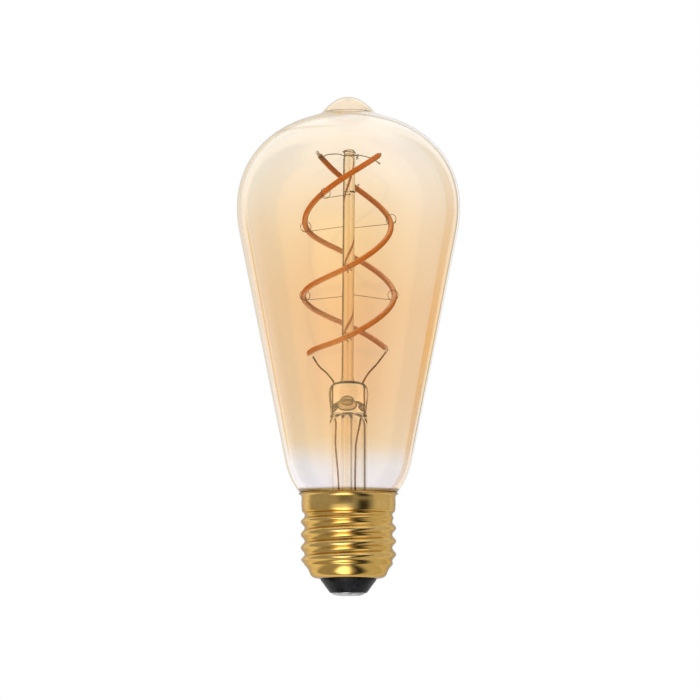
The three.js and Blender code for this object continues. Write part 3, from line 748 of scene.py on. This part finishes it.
def anchor_wire(
    number, material, coil, degrees, rod_height, leaves=None, turned=0, beside=(0, 0), advance=0.6
):
    """From the rod to the filament's underside, then once and a bit round it.

    The loop is square to the filament or turned towards the front, its centre may be beside the filament's,
    and a bead sets the wire into the rod.
    """
    radius, loop, turns, steps = 0.085, 1.42, 1.2, 13
    centre, axis = coil_point(coil, degrees)
    centre = centre + np.array([beside[0], 0, beside[1]])
    towards_front = Vector(np.cross(axis, [0, math.copysign(1, axis[1]), 0]))
    square = np.array(Matrix.Rotation(math.radians(turned), 3, towards_front) @ Vector(axis))
    outward = polar(1, degrees, 0)
    outward = outward - square * (outward @ square)
    outward = outward / np.linalg.norm(outward)
    upward = np.cross(square, outward)
    foot, spoke = rod_centre(rod_height), polar(1, degrees if leaves is None else leaves, 0)
    stops = [foot + spoke * (ROD_RADIUS - 0.06)]
    for i in range(steps + 1):
        share = i / steps
        angle = share * turns * TURN
        point = centre - upward * loop * math.cos(angle) + outward * loop * math.sin(angle)
        stops.append(point + axis * (share - 0.4) * advance)
    wire = bar(spline(stops, 140), radius, 10)
    bead = ball(foot + spoke * (ROD_RADIUS - 0.08), (0.24, 0.24, 0.26), 16)
    made = piece(f"anchor_{number}", *together(wire, bead), [material])
    return place(made, f"anchor_wire_{number}")


# Each anchor: where it holds its filament and leaves the rod, and how its loop lies, with angles in degrees.
ANCHORS = [
    dict(coil="filament_a", degrees=236.7, rod_height=111.2, leaves=-80, turned=40, beside=(0.29, -0.35)),
    dict(coil="filament_a", degrees=167.6, rod_height=102.4, turned=15),
    dict(coil="filament_a", degrees=1.1, rod_height=83.4, turned=15, beside=(-0.37, 0)),
    dict(coil="filament_a", degrees=-91, rod_height=72.2, advance=1.4),
    dict(coil="filament_b", degrees=80, rod_height=112.2),
    dict(coil="filament_b", degrees=14.9, rod_height=102.1, turned=15, beside=(0.4, 0.15)),
    dict(coil="filament_b", degrees=-91, rod_height=90.4, advance=1.4),
    dict(coil="filament_b", degrees=-177.5, rod_height=82.9, beside=(0.4, 0)),
]


def wire_metal(name, bright, dull, roughness):
    """Drawn wire: dull and bright patches, with fine draw lines."""
    finish = Finish(name, metallic=1.0)
    patches = finish.noise(700, 4, 0.6)
    finish.colour(finish.mix(finish.remap(patches, 0.35, 0.68), bright, dull))
    finish.rough(patches, 0.3, 0.75, roughness - 0.08, roughness + 0.15)
    finish.bump(finish.noise(5200, 2), 0.00002, 0.4)
    return finish.material


LINK_LEFT = [
    (-1.45, 0.7, 122.3), (-2.4, 2.2, 122.9), (-4.3, 4.7, 123.3), (-6.4, 7.3, 123.3), (-7.1, 8.1, 122.9),
]
LINK_RIGHT = [
    (2.05, -0.9, 122.3), (3.2, -2.5, 122), (5.4, -5.6, 121.1), (7, -7.5, 120.2), (8.5, -7.8, 119.1),
]


def link_wire(material):
    """Two turns round the rod's neck, twisted shut, with an arm to the upper end of each filament."""
    centre, reach, steps = rod_centre(LINK_RING_Z), 1.85, 48
    turn = [TURN * k / steps for k in range(steps + 1)]
    lower = [centre + polar(reach, math.degrees(a), 0.25 * math.sin(a)) for a in turn]
    upper = [centre + polar(1.78, math.degrees(a), 0.85 - 0.2 * math.cos(a)) for a in turn]
    twist = [
        centre + np.array([reach + 0.35 + 0.3 * math.cos(a), -0.6 + 0.3 * math.sin(a), 0.25 - 0.09 * a])
        for a in np.linspace(0, 2.4 * TURN, 40)
    ]
    left_end, right_end = np.array(LINK_LEFT[-1]), np.array(LINK_RIGHT[-1])
    along_b = coil_point("filament_b", 129)[1]
    wrap = wrap_round(left_end + np.array([-0.65, 0.75, 0.1]), along_b, 0.62, 2.2, 1.3)
    rounds = [bar(lower, 0.17, 10), bar(upper, 0.13, 10), bar(twist, 0.12, 8), bar(wrap, 0.14, 8)]
    knob = ball(right_end, (0.28, 0.28, 0.28), 12)
    arms = [bar(spline(route, 40), 0.15, 10) for route in (LINK_LEFT, LINK_RIGHT)]
    made = piece("link_wire", *together(*rounds, knob, *arms), [material])
    return place(made, "filament_link_wire")


def wrap_round(centre, axis, radius, turns, advance, steps=40):
    """Points of a short winding about an axis through centre."""
    across = np.cross(axis, [0, 0, 1.0])
    across = across / np.linalg.norm(across)
    up = np.cross(axis, across)
    points = []
    for i in range(steps + 1):
        share = i / steps
        angle = share * turns * TURN
        spoke = across * math.cos(angle) + up * math.sin(angle)
        points.append(centre + spoke * radius + axis * advance * (share - 0.5))
    return points


def end_tab(coil, node, end, length, material):
    """A flat metal tab that leaves a filament's end (0 or -1) in line with it, crimped near its tip."""
    route = spline(ROUTES[coil], 600, centripetal=False)
    tip, before = on_coil(route[end]), on_coil(route[1 if end == 0 else -2])
    out = (tip - before) / np.linalg.norm(tip - before)
    rooted, steps = 0.35, 12
    start = tip - out * rooted
    points = [start + out * (length + rooted) * k / steps for k in range(steps + 1)]
    across = np.cross(out, polar(1, route[end][0], 0))

    def waist(along):
        return 0.58 - 0.12 * math.exp(-(((along - 0.75 * length) / 0.18) ** 2))

    vertices, faces = bar(points, waist, 16, 0.42, lambda _: across)
    made = piece(node.replace("filament", "crimp"), vertices, faces, [material])
    return place(made, node)


LEAD_RADIUS = 0.245
SEAL_WIRE_RADIUS = 0.17


def leads(dark, copper):
    """The wires from the board up the stem, through the press and on to the filaments."""
    exit_z, foot_z = 59.2, 49.6
    board_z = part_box("outer_lead_left")[0].z / MM + 0.3
    left, right = SEAL_X
    routes = {
        "inner_lead_left": [
            (left, 0, exit_z), (-4.6, -0.2, 59.9), (-6.1, -1.5, 61.6), (-8.1, -3.4, 63.3), (-9.7, -5.1, 65.7),
        ],
        "inner_lead_right": [
            (right, 0, exit_z), (4.7, 0.4, 60.4), (5.6, 1.1, 61.8), (7.7, 3, 64.2), (9.6, 5, 66.8),
            (10.4, 5.4, 67.9),
        ],
        "outer_lead_left": [
            (left, 0, foot_z), (-3.75, -0.3, 48.5), (-3.45, -0.8, 47.5), (-3.55, -1, 42.4), (-3.2, -1, 37.7),
            (-2.8, -1, 33), (-2.5, -1, 25), (-2, -0.8, board_z),
        ],
        "outer_lead_right": [
            (right, 0, foot_z), (3.4, -0.3, 48.5), (3.1, -0.8, 47.5), (2, -1, 41.7), (1.9, -1, 38),
            (1.8, -1, 33), (1.8, -1, 25), (1.6, -0.8, board_z),
        ],
    }
    for side, x in (("left", left), ("right", right)):
        routes[f"seal_wire_{side}"] = [(x, 0, foot_z + 0.2), (x, 0, 54), (x, 0, exit_z - 0.25)]
    for node, stops in routes.items():
        slot, metal = ("dark_wire", dark) if node.startswith("inner") else ("copper_wire", copper)
        name = node.replace("_lead", "_lead_wire").replace("seal_wire", "seal_dumet")
        radius = SEAL_WIRE_RADIUS if node.startswith("seal") else LEAD_RADIUS
        place(piece(name, *bar(spline(stops, 60), radius, 14), [metal]), node)


# ---- Cap ----

THREAD = {"depth": 1.05, "pitch": 25.4 / 7, "bottom": 8.2, "top": 22.4, "crest": 15.07}


def roll_thread(x, y, z):
    """Moves a point of the cap's wall out by the rolled thread's height there."""
    radius, angle = math.hypot(x, y), math.atan2(y, x)
    phase = (z - THREAD["crest"]) / THREAD["pitch"] - angle / TURN
    rise = smooth_step(z, THREAD["bottom"], THREAD["bottom"] + 2)
    fall = 1 - smooth_step(z, THREAD["top"] - 1.8, THREAD["top"])
    height = THREAD["depth"] * rise * fall * (0.5 + 0.5 * math.cos(TURN * phase))
    grown = (radius + height) / radius
    return x * grown, y * grown, z


def brass():
    """Plated brass, rolled: fine marks round the cap, warmer in the hollows, rubbed paler on the crests."""
    finish = Finish("cap_brass", metallic=1.0, specular_tint=(0.62, 0.61, 0.64, 1.0))
    round_marks = finish.noise(1900, 4, 0.6, finish.stretched(0.12, 0.12, 1))
    patches = finish.noise(160, 4, 0.6)
    rubbed = finish.remap(finish.from_axis("LENGTH", "Value"), 12.75 * MM, 13.2 * MM)
    plate = finish.mix(finish.remap(patches, 0.35, 0.7), (0.85, 0.54, 0.15), (0.79, 0.48, 0.12))
    plate = finish.mix(finish.remap(round_marks, 0.45, 0.72, 0.0, 0.3), plate, (0.74, 0.43, 0.10))
    worn = finish.times(rubbed, finish.remap(finish.noise(900, 3), 0.4, 0.65, 0.15, 0.6))
    finish.colour(finish.mix(worn, plate, (0.88, 0.64, 0.29)))
    finish.rough(round_marks, 0.3, 0.8, 0.15, 0.24)
    finish.bump(finish.maths("ADD", round_marks, finish.times(patches, 0.8)), 0.00002, 0.5)
    return finish.material


def cap_shell(material):
    wall = 0.35
    outside = outline(
        (8.25, 4.75),
        ((10.3, 4.75), (10.75, 6.4), 12),
        ((11.05, 7.4), (12.15, 8.5), 8),
        ((12.15, 22.4), 96),
        ((12.15, 22.9), (12.8, 22.9), (12.88, 23.5), 10),
        ((12.98, 24.3), (13.05, 24.8), (13.05, 25.4), 8),
        ((13.05, 26.2), (12.98, 26.7), (12.98, 27.1), 8),
        ((13.0, 27.8), (13.75, 28.1), 8),
    )
    inside = inset(outside, wall)
    lip = bezier([outside[-1], (13.9, 28.0), (13.85, 27.85), inside[-1]], 4)[:-1]
    rolled = [(min(r, 13.75), min(z, 28.1)) for r, z in lip]
    vertices, faces, _ = revolve(outside + rolled + inside[::-1], 176, roll_thread)
    return place(piece("screw_cap_shell", vertices, faces, [material]), "cap_shell")


def black_glass():
    """Black vitrite: glossy, moulded, with small pits and a greyer skin."""
    finish = Finish("cap_vitrite", ior=1.52, specular_ior_level=0.14)
    pits = finish.cells(1500)
    skin = finish.noise(420, 5, 0.6)
    finish.colour(finish.mix(finish.remap(skin, 0.35, 0.7), (0.008, 0.008, 0.009), (0.028, 0.028, 0.031)))
    finish.rough(skin, 0.3, 0.75, 0.2, 0.42)
    finish.bump(finish.maths("ADD", skin, finish.remap(pits, 0.0, 0.18, -0.5, 0.0)), 0.00008, 0.6)
    return finish.material


def cap_insulator(material):
    points = outline(
        (1.5, 1.15),
        ((4.9, 1.15), 3),
        ((4.9, 0.8), 1),
        ((4.95, 0.78), (5.02, 0.8), 3),
        ((5.2, 0.95), 2),
        ((7.62, 4.2), 10),
        ((7.8, 4.5), (7.85, 5.45), 5),
        ((9, 5.45), 3),
        ((9.9, 6.1), 3),
        ((10.05, 6.9), 2),
        ((10.05, 7.4), 1),
        ((1.5, 7.4), 4),
    )
    vertices, faces, _ = revolve([(r, max(z, 0.8)) for r, z in points], 112)
    return place(piece("cap_vitrite_cone", vertices, faces, [material]), "cap_insulator")


def solder():
    """Tinned and soldered contact: dull grey, with soft cloudy patches."""
    finish = Finish("contact_tin", metallic=1.0)
    cloud = finish.noise(480, 5, 0.65)
    grey = finish.mix(finish.remap(cloud, 0.35, 0.7), (0.66, 0.66, 0.65), (0.42, 0.42, 0.43))
    finish.colour(grey)
    finish.rough(cloud, 0.3, 0.75, 0.28, 0.5)
    finish.bump(cloud, 0.00008, 0.6)
    return finish.material


def centre_contact(material):
    points = outline(
        (0, 0),
        ((2.5, 0), 6),
        ((4.2, 0.1), (4.6, 0.75), 12),
        ((4.62, 0.85), (4.5, 0.85), 3),
        ((1.2, 0.85), 5),
        ((1.2, 7.5), 6),
        ((1.2, 7.6), (1.1, 7.6), 2),
        ((0, 7.6), 2),
    )
    vertices, faces, _ = revolve([(min(r, 4.6), z) for r, z in points], 96)
    return place(piece("contact_plate", vertices, faces, [material]), "centre_contact")


# ---- Pieces kept from the CAD, inside the cap ----


def cement():
    """Gritty tan cement."""
    finish = Finish("basing_cement", roughness=0.9)
    grit = finish.noise(1500, 5, 0.7)
    tan = finish.ramp(grit, (0.3, (0.48, 0.42, 0.33)), (0.55, (0.64, 0.58, 0.47)), (0.75, (0.74, 0.69, 0.58)))
    finish.colour(tan)
    finish.bump(grit, 0.00015, 0.8)
    return finish.material


def white_plastic():
    """Off-white moulding with a faint skin."""
    finish = Finish("cup_plastic", ior=1.49)
    skin = finish.noise(900, 4, 0.6)
    white = finish.mix(finish.remap(skin, 0.3, 0.75), (0.80, 0.79, 0.75), (0.72, 0.70, 0.65))
    finish.colour(white)
    finish.rough(skin, 0.3, 0.8, 0.42, 0.58)
    finish.bump(skin, 0.00004, 0.5)
    return finish.material


def green_board():
    """Solder mask over copper tracks, with bare tinned pads."""
    finish = Finish("board_mask", ior=1.5, roughness=0.38)
    tracks = finish.cells(420, feature="DISTANCE_TO_EDGE")
    weave = finish.noise(2500, 2)
    mask = finish.mix(finish.remap(tracks, 0.06, 0.12), (0.035, 0.20, 0.09), (0.012, 0.085, 0.04))
    mask = finish.mix(finish.remap(weave, 0.4, 0.7, 0.0, 0.25), mask, (0.05, 0.16, 0.08))
    pads = finish.remap(finish.cells(330), 0.14, 0.11)
    finish.colour(finish.mix(pads, mask, (0.62, 0.62, 0.60)))
    finish.set("Metallic", pads)
    finish.bump(finish.maths("ADD", finish.remap(tracks, 0.12, 0.06), pads), 0.00005, 0.6)
    return finish.material


def moulded(name, low, high, roughness):
    """A dark moulded body with a fine sparked texture."""
    finish = Finish(name, ior=1.5)
    grain = finish.noise(3800, 3, 0.6)
    finish.colour(finish.mix(finish.remap(grain, 0.35, 0.7), low, high))
    finish.rough(grain, 0.3, 0.8, roughness - 0.08, roughness + 0.12)
    finish.bump(grain, 0.00003, 0.6)
    return finish.material


def can_sleeve():
    """Shrunk sleeve with a pale stripe down one side, and a bare can on top."""
    finish = Finish("can_sleeve", ior=1.5)
    skin = finish.noise(700, 3)
    sleeve = finish.mix(finish.remap(skin, 0.35, 0.7), (0.035, 0.045, 0.075), (0.055, 0.065, 0.10))
    stripe = finish.remap(finish.axis(1), 5.8 * MM, 6.0 * MM)
    sleeve = finish.mix(stripe, sleeve, (0.45, 0.46, 0.48))
    top = finish.remap(finish.axis(2), 19.55 * MM, 19.65 * MM)
    finish.colour(finish.mix(top, sleeve, (0.72, 0.73, 0.74)))
    finish.set("Metallic", top)
    finish.rough(skin, 0.3, 0.8, 0.28, 0.42)
    finish.bump(skin, 0.00004, 0.5)
    return finish.material


def winding():
    """Enamelled copper in close turns, with a painted highlight on each turn's crest and painted shade in the
    grooves between them.
    """
    finish = Finish("choke_enamel", metallic=1.0)
    values = {"Vector": finish.place, "Scale": 900.0, "Distortion": 0.4}
    turns = finish.node("TexWave", values, bands_direction="Z").outputs["Fac"]
    # Painted highlight on the crests and painted shade in the grooves.
    copper = finish.mix(finish.remap(turns, 0.2, 0.8), (0.30, 0.09, 0.03), (0.80, 0.33, 0.13))
    finish.colour(copper)
    finish.rough(turns, 0.0, 1.0, 0.42, 0.24)
    finish.bump(turns, 0.0001, 0.8)
    return finish.material


def resistor_coat():
    """Cement coat with colour bands round the body."""
    finish = Finish("resistor_coat", ior=1.5, roughness=0.55)
    waves = finish.maths("SINE", finish.times(finish.axis(1), 4200.0))
    bands = finish.remap(waves, 0.55, 0.75)
    grain = finish.noise(2400, 4)
    coat = finish.mix(finish.remap(grain, 0.3, 0.7), (0.09, 0.24, 0.18), (0.14, 0.31, 0.24))
    finish.colour(finish.mix(bands, coat, (0.34, 0.17, 0.06)))
    finish.bump(grain, 0.00004, 0.5)
    return finish.material


def tin_plate():
    """Tinned sheet with brushed marks."""
    finish = Finish("tin_plate", metallic=1.0)
    brushed = finish.noise(2200, 4, 0.6, finish.stretched(1, 1, 0.15))
    finish.colour(finish.mix(finish.remap(brushed, 0.35, 0.7), (0.74, 0.74, 0.72), (0.55, 0.55, 0.54)))
    finish.rough(brushed, 0.3, 0.8, 0.24, 0.42)
    finish.bump(brushed, 0.00002, 0.5)
    return finish.material


def dress_inside(copper, tin):
    """Gives each CAD node that stays its procedural finish."""
    board, sleeve = green_board(), can_sleeve()
    black = moulded("chip_body", (0.010, 0.010, 0.011), (0.028, 0.028, 0.03), 0.45)
    ferrite = moulded("choke_ferrite", (0.022, 0.021, 0.021), (0.055, 0.052, 0.05), 0.62)
    finishes = {
        "basing_cement": cement(), "driver_cup": white_plastic(), "driver_board": board,
        "wireless_module": board, "input_capacitor": sleeve, "output_capacitor": sleeve,
        "choke_core": ferrite, "choke_winding": winding(), "fusible_resistor": resistor_coat(),
        "bridge_rectifier": black, "driver_chip": black, "wireless_shield": tin,
        "live_wire": copper, "neutral_wire": copper,
    }
    for node, material in finishes.items():
        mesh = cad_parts[node].data
        mesh.materials.clear()
        mesh.materials.append(material)


# ---- Studio ----


def studio_floor():
    """A plain pale floor below the lamp, which only the camera sees, so that it darkens no reflection."""
    size, drop = 6.0, 0.09
    vertices = [(x * size, y * size, -drop) for x, y in ((-1, -1), (1, -1), (1, 1), (-1, 1))]
    mesh = bpy.data.meshes.new("floor")
    mesh.from_pydata(vertices, [], [(0, 1, 2, 3)])
    finish = Finish("floor_paper", roughness=0.9)
    grain = finish.noise(60, 3)
    finish.colour(finish.mix(grain, (0.90, 0.90, 0.90), (0.93, 0.93, 0.93)))
    finish.set("Emission Color", (1.0, 1.0, 1.0))
    finish.set("Emission Strength", 0.12)
    mesh.materials.append(finish.material)
    made = bpy.data.objects.new("floor", mesh)
    bpy.context.scene.collection.objects.link(made)
    made.visible_glossy = made.visible_transmission = made.visible_diffuse = False


class Sky(Nodes):
    """The studio round the lamp as one world shader: directions are degrees round from the front and up."""

    def __init__(self):
        world = bpy.data.worlds.new("studio")
        world.use_nodes = True
        bpy.context.scene.world = world
        super().__init__(world.node_tree)
        direction = self.node("TexCoord").outputs["Generated"]
        x, y, z = self.node("SeparateXYZ", {0: direction}).outputs
        self.around = self.maths("DEGREES", self.maths("ARCTAN2", x, self.times(y, -1.0)))
        self.up = self.maths("DEGREES", self.maths("ARCSINE", z))

    def window(self, value, low, high, soft):
        """1 between low and high, with soft edges."""
        rise, fall = self.remap(value, low - soft, low + soft), self.remap(value, high + soft, high - soft)
        return self.times(rise, fall)

    def panel(self, light, brightness, around, up, soft):
        """light with a panel of some brightness over it, between two directions round and two up."""
        sideways, upwards = self.window(self.around, *around, soft[0]), self.window(self.up, *up, soft[1])
        share = self.times(sideways, upwards)
        rest = self.times(light, self.maths("SUBTRACT", 1.0, share))
        return self.maths("ADD", rest, self.times(share, brightness))

    def choose(self, name, if_true, if_false):
        """One light for rays of a kind, and another for the rest."""
        path = self.node("LightPath").outputs[name]
        both = self.times(if_true, path)
        return self.maths("ADD", both, self.times(if_false, self.maths("SUBTRACT", 1.0, path)))


# Panels round the lamp, each laid over those before it: brightness, degrees round from the front, degrees
# up, and how soft its edges are both ways. The lamp's surfaces mirror one set of panels.
EVERY_HEIGHT = (-90, 90)
MIRRORED_LEVEL = 0.38
MIRRORED = [
    (0.20, (-24, 12), (2, 45), (6, 8)),
    (0.90, (-200, 200), (55, 95), (6, 10)),
    (2.50, (-40, 4), (-72, -13), (12, 8)),
    (0.03, (22, 54), (-90, 9), (11, 6)),
    (0.95, (20, 62), (20, 80), (10, 8)),
    (0.60, (66, 119), EVERY_HEIGHT, (8, 5)),
    (0.78, (121, 154), EVERY_HEIGHT, (2, 12)),
    (0.95, (-146, -112), EVERY_HEIGHT, (10, 5)),
    (0.86, (157, 200), EVERY_HEIGHT, (3, 5)),
    (0.86, (-200, -140), EVERY_HEIGHT, (6, 5)),
]
# Its glass lets another set through: bright strips behind, a dark gap at the right and a brighter front.
THROUGH_LEVEL = 1.0
THROUGH = [
    (0.95, (60, 146), EVERY_HEIGHT, (6, 8)),
    (0.95, (-146, -60), EVERY_HEIGHT, (6, 8)),
    (1.18, (156, 173), EVERY_HEIGHT, (3, 10)),
    (1.18, (-173, -156), EVERY_HEIGHT, (3, 10)),
    (0.06, (84, 144), (-55, 55), (3, 10)),
    (1.15, (-75, 75), EVERY_HEIGHT, (10, 10)),
]


def studio_light():
    """A soft white studio, fitted to the photograph's front view.

    It isn't a physical one: mirrored, transmitted, diffuse and camera rays each have their own brightness.
    """
    sky = Sky()
    mirrored, through = MIRRORED_LEVEL, THROUGH_LEVEL
    for panel in MIRRORED:
        mirrored = sky.panel(mirrored, *panel)
    for panel in THROUGH:
        through = sky.panel(through, *panel)
    light = sky.choose("Is Transmission Ray", through, mirrored)
    light = sky.choose("Is Diffuse Ray", 0.95, light)
    light = sky.choose("Is Camera Ray", 1.0, light)
    background = sky.tree.nodes["Background"]
    sky.feed(background.inputs["Strength"], light)
    sky.feed(background.inputs["Color"], (1.0, 1.0, 1.0))


def camera():
    """Far off and a little below the cap, looking slightly up, as the lamp is shown."""
    data = bpy.data.cameras.new("camera")
    data.lens, data.sensor_width = 279.5, 36.0
    data.clip_start, data.clip_end = 0.1, 50.0
    made = bpy.data.objects.new("camera", data)
    bpy.context.scene.collection.objects.link(made)
    beside, distance, below, aim_height = 0.000415, 1.5, 0.05, 0.06803
    made.location = (beside, -distance, -below)
    aim = Vector((beside, 0.0, aim_height))
    made.rotation_euler = (aim - made.location).to_track_quat("-Z", "Y").to_euler()
    bpy.context.scene.camera = made


def render_look():
    """Plain colour, and enough bounces for the many glass walls."""
    scene = bpy.context.scene
    scene.view_settings.view_transform = "Standard"
    scene.view_settings.look = "None"
    scene.cycles.max_bounces = 32
    scene.cycles.transmission_bounces = 28
    scene.cycles.glossy_bounces = 8
    scene.cycles.diffuse_bounces = 4
    scene.cycles.blur_glossy = 0.3


def build():
    # The last colour of each glass is its dark edge, partly painted shade; the press's near-black edge is
    # painted shade.
    tube_glass = clear_glass("glass_clear", (0.975, 0.945, 0.905), (0.40, 0.32, 0.22), 0.60)
    press_glass = clear_glass("glass_press", (0.985, 0.96, 0.89), (0.05, 0.035, 0.02), 0.36, 0.64)
    rod_glass = clear_glass("glass_rod", (0.83, 0.72, 0.55), (0.22, 0.12, 0.02), 0.48)
    dark = wire_metal("support_wire", (0.34, 0.22, 0.13), (0.13, 0.08, 0.05), 0.35)
    copper = wire_metal("dumet_wire", (0.40, 0.20, 0.12), (0.17, 0.085, 0.06), 0.38)
    tin, orange = tin_plate(), silicone()
    glass_envelope(outer_glass(), amber_coat())
    stem_flare_tube(tube_glass, press_glass, stained_and_shaded_glass())
    exhaust_tube(tube_glass)
    support_rod(rod_glass)
    filament("filament_a", orange)
    filament("filament_b", orange)
    for i, anchor in enumerate(ANCHORS):
        anchor_wire(i + 1, dark, **anchor)
    link_wire(dark)
    for coil, upper_length in (("filament_a", 0.5), ("filament_b", 1.3)):
        end_tab(coil, f"{coil}_upper_tab", 0, upper_length, tin)
        end_tab(coil, f"{coil}_lower_tab", -1, 0.9, tin)
    leads(dark, copper)
    cap_shell(brass())
    cap_insulator(black_glass())
    centre_contact(solder())
    dress_inside(copper, tin)


build()
studio_floor()
studio_light()
camera()
render_look()
